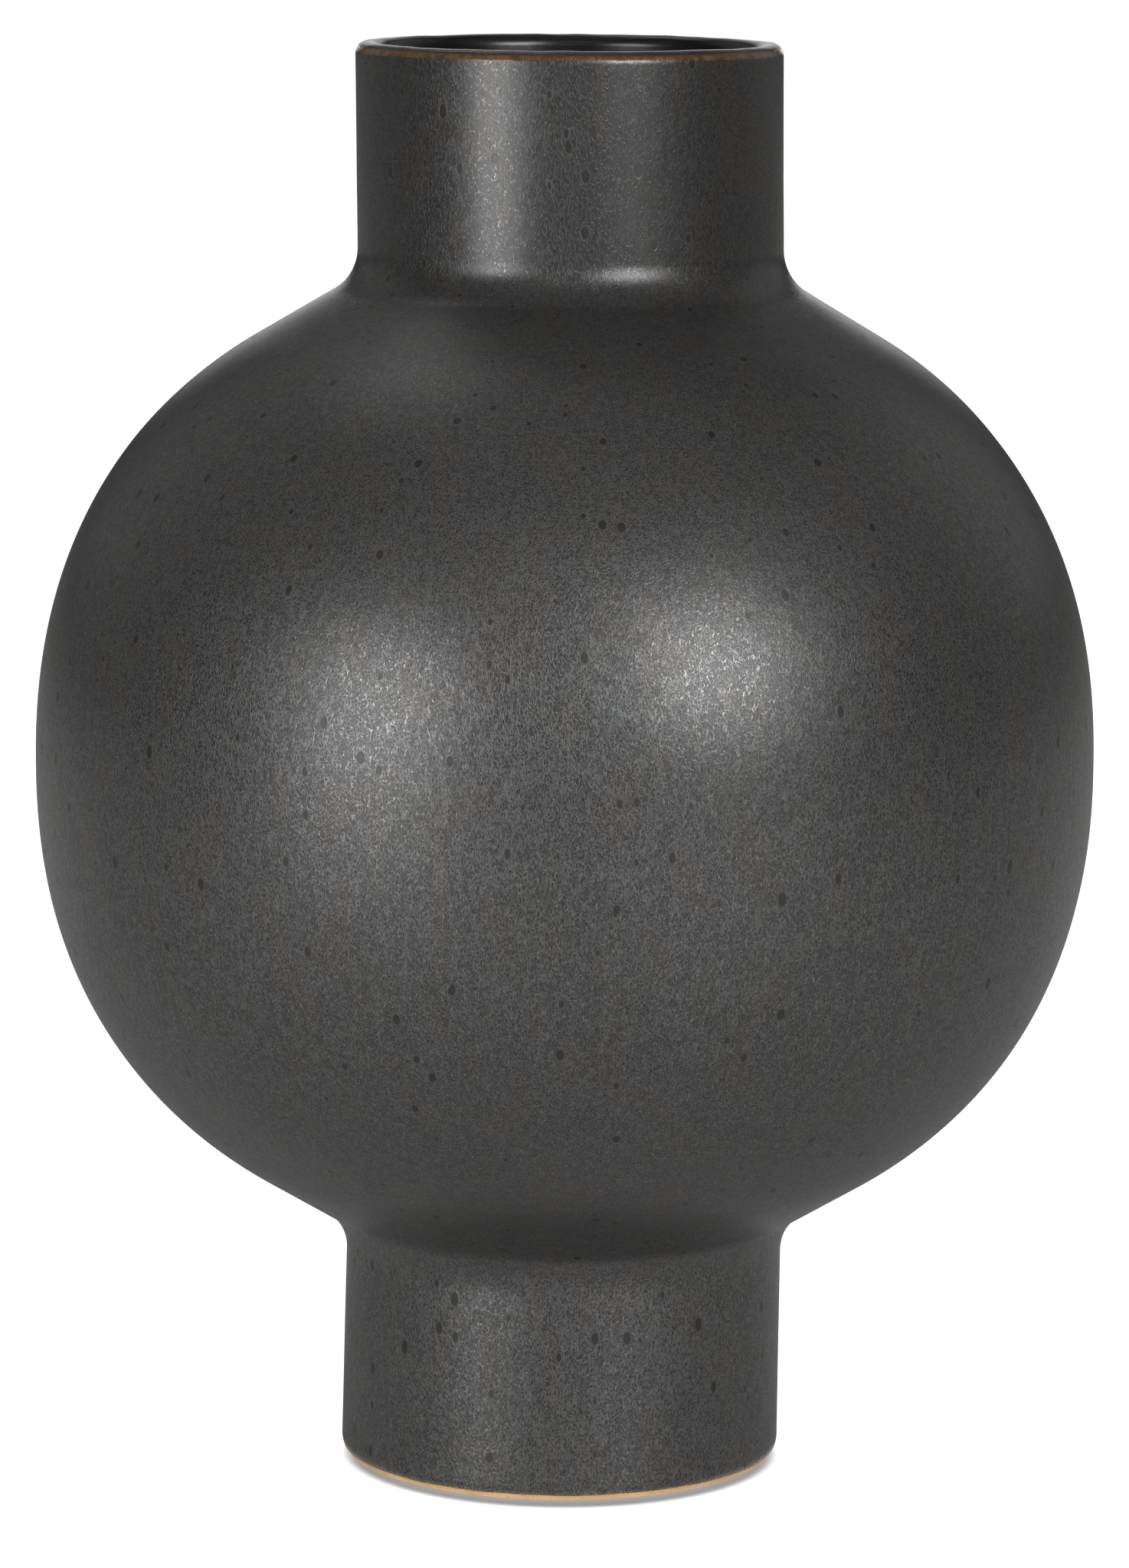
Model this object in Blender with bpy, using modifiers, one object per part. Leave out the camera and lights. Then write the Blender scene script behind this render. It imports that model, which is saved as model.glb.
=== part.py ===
"""A large round ceramic vase: a flattened ball between a straight neck and a straight foot.

Metres, +Z up, with the origin at the centre of the foot's underside. The vase is made of turned
stoneware sections, luted together with slip at half-lapped joints, and it wears two glaze coats:
a satin one outside and a glossy liner inside. Every piece is a turned profile of (radius, height)
points, and touching pieces keep a gap of JOINT_GAP.
"""

import math

import bpy

# ---- Outside shape, measured on the outer glaze ----
HEIGHT = 0.400
BODY_RADIUS = 0.1485
BODY_MIDDLE = 0.1998
UPPER_RISE = 0.1392
UPPER_ROUNDNESS = 2.24
LOWER_DROP = 0.1376
LOWER_ROUNDNESS = 2.25
UPPER_CONE_RADIUS = 0.0875
LOWER_CONE_RADIUS = 0.0892
NECK_RADIUS = 0.0593
NECK_FILLET = 0.0140
FOOT_TOP_RADIUS = 0.0617
FOOT_RADIUS = 0.0622
FOOT_FILLET = 0.0156
RIM_CORNER = (0.0028, 0.0034)
FOOT_CORNER = (0.0021, 0.0043)

# ---- Wall, from the outside in ----
OUTER_COAT = 0.0006
JOINT_GAP = 0.0003
CLAY_WALL = 0.0050
LINER_COAT = 0.0005
CLAY_DEPTH = OUTER_COAT + JOINT_GAP
CLAY_INSIDE_DEPTH = CLAY_DEPTH + CLAY_WALL
LINER_DEPTH = CLAY_INSIDE_DEPTH + JOINT_GAP
INSIDE_DEPTH = LINER_DEPTH + LINER_COAT
CLAY_RIM_CORNER = (0.0020, 0.0026)
CLAY_FOOT_CORNER = (0.0020, 0.0032)

# ---- Foot and floor ----
BARE_BAND = 0.0016
FOOT_RING_INSIDE = 0.0510
LEDGE_INSIDE = 0.0490
LEDGE_HEIGHT = 0.0050
FLOOR_UNDERSIDE = LEDGE_HEIGHT + JOINT_GAP
FLOOR_TOP = FLOOR_UNDERSIDE + 0.0060
FLOOR_COVE = 0.0065
FLOOR_COVE_END = -30.0

# ---- Half-lapped joints between the clay sections ----
FOOT_JOINT = 0.0520
NECK_JOINT = 0.3490
LAP_HEIGHT = 0.0050
LAP_DEPTH = CLAY_WALL / 2
SLIP_THICKNESS = 0.0008
BUTT_GAP = SLIP_THICKNESS / 2 + JOINT_GAP

# ---- Mesh ----
TURN_STEPS = 44
BODY_STEPS = 6
FILLET_STEPS = 3
CORNER_STEPS = 3
SHARP_ANGLE = math.radians(35)
MERGE_DISTANCE = 0.00005

# ---- Colours, linear ----
OUTER_GLAZE_COLOUR = (0.036, 0.033, 0.031)
LINER_GLAZE_COLOUR = (0.012, 0.011, 0.012)
CLAY_COLOUR = (0.56, 0.36, 0.17)
SLIP_COLOUR = (0.48, 0.31, 0.16)


def arc(centre, size, start, end, steps=CORNER_STEPS):
    """Points on an axis-aligned ellipse, from start to end in degrees."""
    points = []
    for i in range(steps + 1):
        angle = math.radians(start + (end - start) * i / steps)
        points.append((centre[0] + size[0] * math.cos(angle), centre[1] + size[1] * math.sin(angle)))
    return points


def swollen(size):
    """An ellipse's size with JOINT_GAP added all round."""
    return (size[0] + JOINT_GAP, size[1] + JOINT_GAP)


class HalfBody:
    """Half of the ball, with the fillet that joins it to the neck or to the foot.

    The ball is a superellipse as far in as cone_radius, then a straight cone that touches it, then
    a round fillet against the upright wall. side is +1 for the upper half, -1 for the lower one,
    and a rise is a distance from the ball's middle towards the wall.
    """

    def __init__(self, side, rise, roundness, cone_radius, fillet, wall_radius):
        self.side = side
        self.rise = rise
        self.roundness = roundness
        self.cone_radius = cone_radius
        self.fillet = fillet
        cone_rise = rise * (1.0 - (cone_radius / BODY_RADIUS) ** roundness) ** (1.0 / roundness)
        self.cone_normal = self.ball_normal(cone_radius, cone_rise)
        across, along = self.cone_normal
        centre_radius = wall_radius + fillet
        centre_rise = cone_rise + (fillet - (centre_radius - cone_radius) * across) / along
        self.fillet_centre = (centre_radius, centre_rise)
        self.wall_height = BODY_MIDDLE + side * centre_rise

    def ball_normal(self, radius, rise):
        power = self.roundness - 1.0
        across = (radius / BODY_RADIUS) ** power / BODY_RADIUS
        along = (rise / self.rise) ** power / self.rise
        length = math.hypot(across, along)
        return (across / length, along / length)

    def stations(self):
        """(radius, rise, normal) on the outside, from beside the equator to the upright wall."""
        found = []
        cone_turn = math.acos((self.cone_radius / BODY_RADIUS) ** (self.roundness / 2.0))
        for i in range(1, BODY_STEPS + 1):
            turn = cone_turn * i / BODY_STEPS
            radius = BODY_RADIUS * math.cos(turn) ** (2.0 / self.roundness)
            rise = self.rise * math.sin(turn) ** (2.0 / self.roundness)
            found.append((radius, rise, self.ball_normal(radius, rise)))
        cone_tilt = math.atan2(self.cone_normal[1], self.cone_normal[0])
        for i in range(FILLET_STEPS + 1):
            tilt = cone_tilt * (1.0 - i / FILLET_STEPS)
            normal = (math.cos(tilt), math.sin(tilt))
            radius = self.fillet_centre[0] - self.fillet * normal[0]
            rise = self.fillet_centre[1] - self.fillet * normal[1]
            found.append((radius, rise, normal))
        return found

    def line(self, depth):
        """The points at this depth under the glaze, from beside the equator to the upright wall."""
        points = []
        for radius, rise, normal in self.stations():
            height = BODY_MIDDLE + self.side * (rise - depth * normal[1])
            points.append((radius - depth * normal[0], height))
        return points


UPPER = HalfBody(1, UPPER_RISE, UPPER_ROUNDNESS, UPPER_CONE_RADIUS, NECK_FILLET, NECK_RADIUS)
LOWER = HalfBody(-1, LOWER_DROP, LOWER_ROUNDNESS, LOWER_CONE_RADIUS, FOOT_FILLET, FOOT_TOP_RADIUS)


def ball_line(depth):
    """The points at this depth from the neck's wall down to the foot's wall."""
    return UPPER.line(depth)[::-1] + [(BODY_RADIUS - depth, BODY_MIDDLE)] + LOWER.line(depth)


def foot_radius(height, depth=0.0):
    """The foot's radius at this depth under the glaze: it widens a little towards the table."""
    share = (LOWER.wall_height - height) / (LOWER.wall_height - FOOT_CORNER[1])
    return FOOT_TOP_RADIUS + (FOOT_RADIUS - FOOT_TOP_RADIUS) * share - depth


NECK_CLAY = NECK_RADIUS - CLAY_DEPTH
WAIST_CLAY = BODY_RADIUS - CLAY_DEPTH
FOOT_JOINT_CLAY = foot_radius(FOOT_JOINT, CLAY_DEPTH)
FOOT_CLAY = FOOT_RADIUS - CLAY_DEPTH
CLAY_TOP = HEIGHT - CLAY_DEPTH
CLAY_RIM_HEIGHT = CLAY_TOP - CLAY_RIM_CORNER[1]
CLAY_RIM_OUTSIDE = (NECK_CLAY - CLAY_RIM_CORNER[0], CLAY_RIM_HEIGHT)
CLAY_RIM_INSIDE = (NECK_CLAY - CLAY_WALL + CLAY_RIM_CORNER[0], CLAY_RIM_HEIGHT)
CLAY_FOOT_CENTRE = (FOOT_CLAY - CLAY_FOOT_CORNER[0], CLAY_FOOT_CORNER[1])
COVE_HEIGHT = FLOOR_TOP + FLOOR_COVE
COVE_CENTRE = (foot_radius(COVE_HEIGHT, LINER_DEPTH + FLOOR_COVE - JOINT_GAP), COVE_HEIGHT)


def lap_below(radius, height):
    """The top of the section under a half-lapped joint, from its inside to its outside.

    radius is the clay's outside. The section's inner half stands up behind the outer half of the
    section above.
    """
    step = radius - LAP_DEPTH
    return [
        (radius - CLAY_WALL, height + LAP_HEIGHT),
        (step, height + LAP_HEIGHT),
        (step, height - BUTT_GAP),
        (radius, height - BUTT_GAP),
    ]


def lap_above(radius, height):
    """The bottom of the section over a half-lapped joint, from its outside to its inside."""
    step = radius - LAP_DEPTH + JOINT_GAP
    return [
        (radius, height + BUTT_GAP),
        (step, height + BUTT_GAP),
        (step, height + LAP_HEIGHT + JOINT_GAP),
        (radius - CLAY_WALL, height + LAP_HEIGHT + JOINT_GAP),
    ]


def slip_ring(radius, height):
    """The layer of slip in the outer half of a lapped joint."""
    inside = radius - LAP_DEPTH + JOINT_GAP
    top = height + SLIP_THICKNESS / 2
    bottom = height - SLIP_THICKNESS / 2
    return [(radius, top), (radius, bottom), (inside, bottom), (inside, top)]


def neck_section():
    """The straight neck with its rounded lip."""
    lip_outside = arc(CLAY_RIM_OUTSIDE, CLAY_RIM_CORNER, 90, 0)
    lip_inside = arc(CLAY_RIM_INSIDE, CLAY_RIM_CORNER, 180, 90)
    return lip_outside + lap_above(NECK_CLAY, NECK_JOINT) + lip_inside


def upper_body():
    """The shoulder: the ball's upper half, and the fillet under the neck."""
    top = lap_below(NECK_CLAY, NECK_JOINT)
    outside = UPPER.line(CLAY_DEPTH)[::-1]
    inside = UPPER.line(CLAY_INSIDE_DEPTH)
    return top[3:] + outside + lap_above(WAIST_CLAY, BODY_MIDDLE) + inside + top[:3]


def lower_body():
    """The ball's lower half, and the fillet over the foot."""
    top = lap_below(WAIST_CLAY, BODY_MIDDLE)
    outside = LOWER.line(CLAY_DEPTH)
    inside = LOWER.line(CLAY_INSIDE_DEPTH)[::-1] + [(WAIST_CLAY - CLAY_WALL, BODY_MIDDLE)]
    return top[3:] + outside + lap_above(FOOT_JOINT_CLAY, FOOT_JOINT) + inside + top[:3]


def foot_section():
    """The straight foot: a bare rounded ring on the table, and a ledge inside that holds the floor."""
    top = lap_below(FOOT_JOINT_CLAY, FOOT_JOINT)
    bare_corner = arc(CLAY_FOOT_CENTRE, CLAY_FOOT_CORNER, 0, -90)
    ring_inside = [(FOOT_RING_INSIDE, 0.0), (LEDGE_INSIDE, LEDGE_HEIGHT)]
    ledge_end = [(foot_radius(LEDGE_HEIGHT, CLAY_INSIDE_DEPTH), LEDGE_HEIGHT)]
    return top[3:] + bare_corner + ring_inside + ledge_end + top[:3]


def base_floor():
    """The floor, a shallow dish with a coved edge, dropped on the foot's ledge from above."""
    edge = foot_radius(FLOOR_TOP, CLAY_INSIDE_DEPTH + JOINT_GAP)
    cove = arc(COVE_CENTRE, (FLOOR_COVE, FLOOR_COVE), -90, FLOOR_COVE_END)
    return [(0.0, FLOOR_TOP)] + cove + [(edge, cove[-1][1]), (edge, FLOOR_UNDERSIDE), (0.0, FLOOR_UNDERSIDE)]


def outer_glaze():
    """The satin coat, from the middle of the lip down to just above the table."""
    crown = NECK_RADIUS - INSIDE_DEPTH / 2 + JOINT_GAP / 2
    rim_centre = (NECK_RADIUS - RIM_CORNER[0], HEIGHT - RIM_CORNER[1])
    foot_centre = (FOOT_RADIUS - FOOT_CORNER[0], FOOT_CORNER[1])
    outer_end = math.degrees(math.asin((BARE_BAND - foot_centre[1]) / FOOT_CORNER[1]))
    clay_corner = swollen(CLAY_FOOT_CORNER)
    clay_end = math.degrees(math.asin((BARE_BAND - CLAY_FOOT_CENTRE[1]) / clay_corner[1]))
    outside = [(crown, HEIGHT)] + arc(rim_centre, RIM_CORNER, 90, 0) + ball_line(0.0)
    outside += arc(foot_centre, FOOT_CORNER, 0, outer_end)
    inside = arc(CLAY_FOOT_CENTRE, clay_corner, clay_end, 0) + ball_line(OUTER_COAT)[::-1]
    inside += arc(CLAY_RIM_OUTSIDE, swollen(CLAY_RIM_CORNER), 0, 90) + [(crown, CLAY_TOP + JOINT_GAP)]
    return outside + inside


def liner_glaze():
    """The glossy coat, from the middle of the lip down over the floor."""
    crown = NECK_RADIUS - INSIDE_DEPTH / 2 - JOINT_GAP / 2
    rim_centre = (NECK_RADIUS - INSIDE_DEPTH + RIM_CORNER[0], HEIGHT - RIM_CORNER[1])
    cove = FLOOR_COVE - JOINT_GAP
    inner_cove = cove - LINER_COAT
    wet_side = [(0.0, COVE_CENTRE[1] - inner_cove)] + arc(COVE_CENTRE, (inner_cove, inner_cove), -90, 0)
    wet_side += ball_line(INSIDE_DEPTH)[::-1] + arc(rim_centre, RIM_CORNER, 180, 90) + [(crown, HEIGHT)]
    clay_side = [(crown, CLAY_TOP + JOINT_GAP)] + arc(CLAY_RIM_INSIDE, swollen(CLAY_RIM_CORNER), 90, 180)
    clay_side += ball_line(LINER_DEPTH) + arc(COVE_CENTRE, (cove, cove), 0, -90)
    return wet_side + clay_side + [(0.0, COVE_CENTRE[1] - cove)]


def clear_scene():
    for obj in list(bpy.data.objects):
        bpy.data.objects.remove(obj, do_unlink=True)


def make_material(name, colour, roughness, metallic=0.0):
    material = bpy.data.materials.new(name)
    material.use_nodes = True
    shader = material.node_tree.nodes["Principled BSDF"]
    shader.inputs["Base Color"].default_value = (*colour, 1.0)
    shader.inputs["Roughness"].default_value = roughness
    shader.inputs["Metallic"].default_value = metallic
    return material


def turned(name, profile, material, collection):
    """A solid of revolution from a profile that runs down its outer side, top to bottom.

    A profile that starts and ends on the axis is left open, and any other is closed into a ring.
    """
    line = bpy.data.meshes.new(name + "_profile")
    count = len(profile)
    edges = [(i, i + 1) for i in range(count - 1)]
    if profile[0][0] > 0.0:
        edges.append((count - 1, 0))
    line.from_pydata([(radius, 0.0, height) for radius, height in profile], edges, [])
    obj = bpy.data.objects.new(name, line)
    collection.objects.link(obj)
    screw = obj.modifiers.new("turn", "SCREW")
    screw.axis = "Z"
    screw.angle = math.tau
    screw.steps = TURN_STEPS
    screw.render_steps = TURN_STEPS
    screw.use_merge_vertices = True
    screw.merge_threshold = MERGE_DISTANCE
    mesh = bpy.data.meshes.new_from_object(obj.evaluated_get(bpy.context.evaluated_depsgraph_get()))
    mesh.name = name
    mesh.shade_smooth()
    mesh.set_sharp_from_angle(angle=SHARP_ANGLE)
    mesh.materials.append(material)
    obj.modifiers.remove(screw)
    obj.data = mesh
    bpy.data.meshes.remove(line)
    return obj


def main():
    clear_scene()
    vase = bpy.data.collections.new("round_vase")
    bpy.context.scene.collection.children.link(vase)

    turned("foot_section", foot_section(), make_material("foot_clay", CLAY_COLOUR, 0.85), vase)
    turned("base_floor", base_floor(), make_material("floor_clay", CLAY_COLOUR, 0.85), vase)
    turned("lower_body", lower_body(), make_material("lower_body_clay", CLAY_COLOUR, 0.8), vase)
    turned("upper_body", upper_body(), make_material("upper_body_clay", CLAY_COLOUR, 0.8), vase)
    turned("neck_section", neck_section(), make_material("neck_clay", CLAY_COLOUR, 0.8), vase)

    joints = {
        "foot_slip": (FOOT_JOINT_CLAY, FOOT_JOINT),
        "waist_slip": (WAIST_CLAY, BODY_MIDDLE),
        "neck_slip": (NECK_CLAY, NECK_JOINT),
    }
    for name, (radius, height) in joints.items():
        turned(name, slip_ring(radius, height), make_material(name, SLIP_COLOUR, 0.9), vase)

    satin = make_material("satin_glaze", OUTER_GLAZE_COLOUR, 0.42, 0.35)
    gloss = make_material("gloss_glaze", LINER_GLAZE_COLOUR, 0.12)
    turned("outer_glaze", outer_glaze(), satin, vase)
    turned("liner_glaze", liner_glaze(), gloss, vase)


main()
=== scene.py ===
"""The looks of a large round ceramic vase: satin near-black glaze outside, glossy black liner inside.

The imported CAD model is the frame: every size that it knows is read from it, in metres, +Z up, with
the origin at the centre of the foot's underside. The two glaze coats, the bare foot ring and the
floor's underside are modelled again here as finely turned skins; the clay sections stay as they are.
"""

import math

import bpy
import numpy as np
from mathutils import Matrix, Vector


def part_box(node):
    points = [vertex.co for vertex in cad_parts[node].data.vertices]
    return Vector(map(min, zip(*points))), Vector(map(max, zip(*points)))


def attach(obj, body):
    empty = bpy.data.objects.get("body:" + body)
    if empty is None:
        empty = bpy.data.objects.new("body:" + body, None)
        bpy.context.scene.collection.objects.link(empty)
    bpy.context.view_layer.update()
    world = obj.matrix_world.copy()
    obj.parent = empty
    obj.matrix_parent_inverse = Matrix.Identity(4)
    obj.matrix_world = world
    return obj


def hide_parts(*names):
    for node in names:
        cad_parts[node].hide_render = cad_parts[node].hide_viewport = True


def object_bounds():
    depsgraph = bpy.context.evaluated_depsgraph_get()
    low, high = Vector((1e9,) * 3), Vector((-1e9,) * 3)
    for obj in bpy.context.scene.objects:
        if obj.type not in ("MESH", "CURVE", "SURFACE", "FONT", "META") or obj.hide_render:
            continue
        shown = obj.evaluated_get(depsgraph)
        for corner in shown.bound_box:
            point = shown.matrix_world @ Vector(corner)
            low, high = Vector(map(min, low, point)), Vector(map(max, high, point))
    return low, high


MM = 0.001

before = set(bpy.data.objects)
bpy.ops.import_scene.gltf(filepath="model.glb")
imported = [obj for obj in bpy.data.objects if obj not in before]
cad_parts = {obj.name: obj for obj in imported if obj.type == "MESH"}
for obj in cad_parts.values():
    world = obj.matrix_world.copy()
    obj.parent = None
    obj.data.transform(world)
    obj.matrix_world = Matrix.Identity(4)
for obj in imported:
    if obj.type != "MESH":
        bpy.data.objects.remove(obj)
cad_low, cad_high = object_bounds()

# ---- Sizes the frame knows ----
HEIGHT = cad_high.z
BODY_RADIUS = cad_high.x
waist_low, waist_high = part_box("waist_slip")
BODY_MIDDLE = (waist_low.z + waist_high.z) / 2
CLAY_DEPTH = BODY_RADIUS - waist_high.x
NECK_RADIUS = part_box("neck_section")[1].x + CLAY_DEPTH
FOOT_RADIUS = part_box("foot_section")[1].x + CLAY_DEPTH
liner_low, liner_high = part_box("liner_glaze")
LINER_COAT = 0.5 * MM
INSIDE_DEPTH = BODY_RADIUS - liner_high.x + LINER_COAT
FLOOR_TOP = liner_low.z + LINER_COAT
FLOOR_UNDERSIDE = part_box("base_floor")[0].z
BARE_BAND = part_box("outer_glaze")[0].z

# ---- The outline's own numbers, as in the CAD ----
UPPER_RISE = 139.2 * MM
UPPER_ROUNDNESS = 2.24
LOWER_DROP = 137.6 * MM
LOWER_ROUNDNESS = 2.25
UPPER_CONE_RADIUS = 87.5 * MM
LOWER_CONE_RADIUS = 89.2 * MM
NECK_FILLET = 14.0 * MM
FOOT_TOP_RADIUS = FOOT_RADIUS - 0.5 * MM
FOOT_FILLET = 15.6 * MM
RIM_CORNER = (2.8 * MM, 3.4 * MM)
FOOT_CORNER = (2.1 * MM, 4.3 * MM)
LINER_FOOT_THINNING = 0.4 * MM
FLOOR_COVE = 5.7 * MM
CLAY_FOOT_CORNER = (2.0 * MM, 3.2 * MM)
BARE_CLAY_LIFT = 0.35 * MM
FOOT_RING_INSIDE = 51.0 * MM
FOOT_RING_ROUNDING = 0.8 * MM
LEDGE_INSIDE = 49.0 * MM
LEDGE_HEIGHT = 5.0 * MM
LEDGE_ROUNDING = 1.0 * MM

# ---- How finely the skins are turned ----
AROUND = 480
BALL_ROWS = 104
FILLET_ROWS = 16
CORNER_ROWS = 12
RING_ROWS = 6
LEDGE_ROWS = 5
WALL_STEP = 1.4 * MM
TINY = 1e-12


def arc(centre, size, start, end, rows=CORNER_ROWS):
    """Points on an axis-aligned ellipse, from start to end in degrees."""
    angles = np.radians(np.linspace(start, end, rows + 1))
    return [(centre[0] + size[0] * math.cos(a), centre[1] + size[1] * math.sin(a)) for a in angles]


def straight(start, end, step=WALL_STEP):
    """Points between two ends, both left out."""
    count = max(2, round(math.dist(start, end) / step))
    line = []
    for i in range(1, count):
        share = i / count
        line.append((start[0] + (end[0] - start[0]) * share, start[1] + (end[1] - start[1]) * share))
    return line


class HalfBody:
    """Half of the ball with its fillet: a superellipse, a straight cone and a round fillet.

    side is +1 above the ball's middle and -1 below it.
    """

    def __init__(self, side, rise, roundness, cone_radius, fillet, wall_radius):
        self.side = side
        self.rise = rise
        self.roundness = roundness
        self.cone_radius = cone_radius
        self.fillet = fillet
        cone_rise = rise * (1.0 - (cone_radius / BODY_RADIUS) ** roundness) ** (1.0 / roundness)
        self.cone_normal = self.ball_normal(cone_radius, cone_rise)
        across, along = self.cone_normal
        centre_radius = wall_radius + fillet
        centre_rise = cone_rise + (fillet - (centre_radius - cone_radius) * across) / along
        self.fillet_centre = (centre_radius, centre_rise)

    def ball_normal(self, radius, rise):
        """The direction straight out of the ball at a point on it."""
        power = self.roundness - 1.0
        across = (radius / BODY_RADIUS) ** power / BODY_RADIUS
        along = (rise / self.rise) ** power / self.rise
        length = math.hypot(across, along)
        return (across / length, along / length)

    def line(self, depth):
        """The points at this depth under the glaze, from beside the equator to the upright wall."""
        found = []
        cone_turn = math.acos((self.cone_radius / BODY_RADIUS) ** (self.roundness / 2.0))
        for i in range(1, BALL_ROWS + 1):
            turn = cone_turn * i / BALL_ROWS
            radius = BODY_RADIUS * math.cos(turn) ** (2.0 / self.roundness)
            rise = self.rise * math.sin(turn) ** (2.0 / self.roundness)
            found.append((radius, rise, self.ball_normal(radius, rise)))
        cone_tilt = math.atan2(self.cone_normal[1], self.cone_normal[0])
        ball_end = found[-1]
        for i in range(FILLET_ROWS + 1):
            tilt = cone_tilt * (1.0 - i / FILLET_ROWS)
            normal = (math.cos(tilt), math.sin(tilt))
            radius = self.fillet_centre[0] - self.fillet * normal[0]
            rise = self.fillet_centre[1] - self.fillet * normal[1]
            if i == 0:
                for r, h in straight(ball_end[:2], (radius, rise)):
                    found.append((r, h, normal))
            found.append((radius, rise, normal))
        points = []
        for radius, rise, normal in found:
            height = BODY_MIDDLE + self.side * (rise - depth * normal[1])
            points.append((radius - depth * normal[0], height))
        return points


UPPER = HalfBody(1, UPPER_RISE, UPPER_ROUNDNESS, UPPER_CONE_RADIUS, NECK_FILLET, NECK_RADIUS)
LOWER = HalfBody(-1, LOWER_DROP, LOWER_ROUNDNESS, LOWER_CONE_RADIUS, FOOT_FILLET, FOOT_TOP_RADIUS)


def ball_line(depth):
    """The points at this depth from the neck's wall down to the foot's wall."""
    return UPPER.line(depth)[::-1] + [(BODY_RADIUS - depth, BODY_MIDDLE)] + LOWER.line(depth)


# The lip's highest circle, where the two coats meet.
CROWN = NECK_RADIUS - INSIDE_DEPTH / 2


def outer_line():
    """The satin coat's wet side, from the middle of the lip down to its edge above the table."""
    rim = arc((NECK_RADIUS - RIM_CORNER[0], HEIGHT - RIM_CORNER[1]), RIM_CORNER, 90, 0)
    ball = ball_line(0.0)
    foot_centre = (FOOT_RADIUS - FOOT_CORNER[0], FOOT_CORNER[1])
    foot_end = math.degrees(math.asin((BARE_BAND - foot_centre[1]) / FOOT_CORNER[1]))
    foot = arc(foot_centre, FOOT_CORNER, 0, foot_end)
    line = [(CROWN, HEIGHT)] + rim + straight(rim[-1], ball[0]) + ball
    return line + straight(ball[-1], foot[0]) + foot


def liner_line():
    """The liner's wet side, from the middle of the lip down to the middle of the floor."""
    rim_centre = (NECK_RADIUS - INSIDE_DEPTH + RIM_CORNER[0], HEIGHT - RIM_CORNER[1])
    rim = arc(rim_centre, RIM_CORNER, 90, 180)
    ball = ball_line(INSIDE_DEPTH)
    wall = FOOT_TOP_RADIUS - INSIDE_DEPTH + LINER_FOOT_THINNING
    cove = arc((wall - FLOOR_COVE, FLOOR_TOP + FLOOR_COVE), (FLOOR_COVE, FLOOR_COVE), 0, -90)
    middle = (0.0, FLOOR_TOP)
    line = [(CROWN, HEIGHT)] + rim + straight(rim[-1], ball[0]) + ball
    return line + straight(ball[-1], cove[0]) + cove + straight(cove[-1], middle) + [middle]


# ---- The small unevenness of a thing made by hand ----
# How far the axis wanders to the right, in millimetres, at heights in millimetres.
LEAN_HEIGHTS = (0, 60, 83, 120, 160, 290, 318, 334, 347, 362, 400)
LEAN_OFFSETS = (-0.2, 0.7, 0.55, 0.35, 0.0, 0.0, 0.45, 0.8, 0.65, 0.35, -0.1)

# The radius at which a ripple's waves have their stated lengths around the axis.
RIPPLE_RADIUS = 100 * MM


class Ripple:
    """A smooth random height that repeats around the axis: a sum of seeded waves."""

    def __init__(self, seed, waves, shortest, longest):
        draw = np.random.default_rng(seed)
        lengths = np.exp(draw.uniform(math.log(shortest), math.log(longest), waves))
        slopes = draw.uniform(0.0, math.tau, waves)
        self.turns = np.round(math.tau * RIPPLE_RADIUS / lengths * np.cos(slopes))
        self.rises = math.tau / lengths * np.sin(slopes)
        self.phases = draw.uniform(0.0, math.tau, waves)

    def at(self, angles, distances):
        """The ripple at these angles and distances along the outline, about as often up as down."""
        total = np.zeros(np.broadcast(angles, distances).shape)
        for turns, rise, phase in zip(self.turns, self.rises, self.phases):
            total += np.cos(turns * angles + rise * distances + phase)
        return total / math.sqrt(len(self.turns))


FORM_RIPPLE = Ripple(11, 16, 45 * MM, 160 * MM)
FORM_DEPTH = 0.05 * MM
# Inside this radius the form's ripple fades away, so that the middle of a floor stays one point.
CALM_RADIUS = 20 * MM
EDGE_RIPPLE = Ripple(12, 14, 16 * MM, 90 * MM)
# How far below the crown the lip's waves reach, how deep they are and how far they sink the crown.
LIP_REACH = 8 * MM
LIP_DEPTH = 0.05 * MM
LIP_DROP = 0.3 * MM
# The same for the glaze's edge at the foot, which is lifted instead, and takes its waves from
# another stretch of the ripple.
FOOT_EDGE_TOP = 6 * MM
FOOT_EDGE_REACH = 5 * MM
FOOT_EDGE_DEPTH = 0.10 * MM
FOOT_EDGE_LIFT = 0.25 * MM
LIP_STRETCH = 0.0
FOOT_EDGE_STRETCH = 0.3


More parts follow.
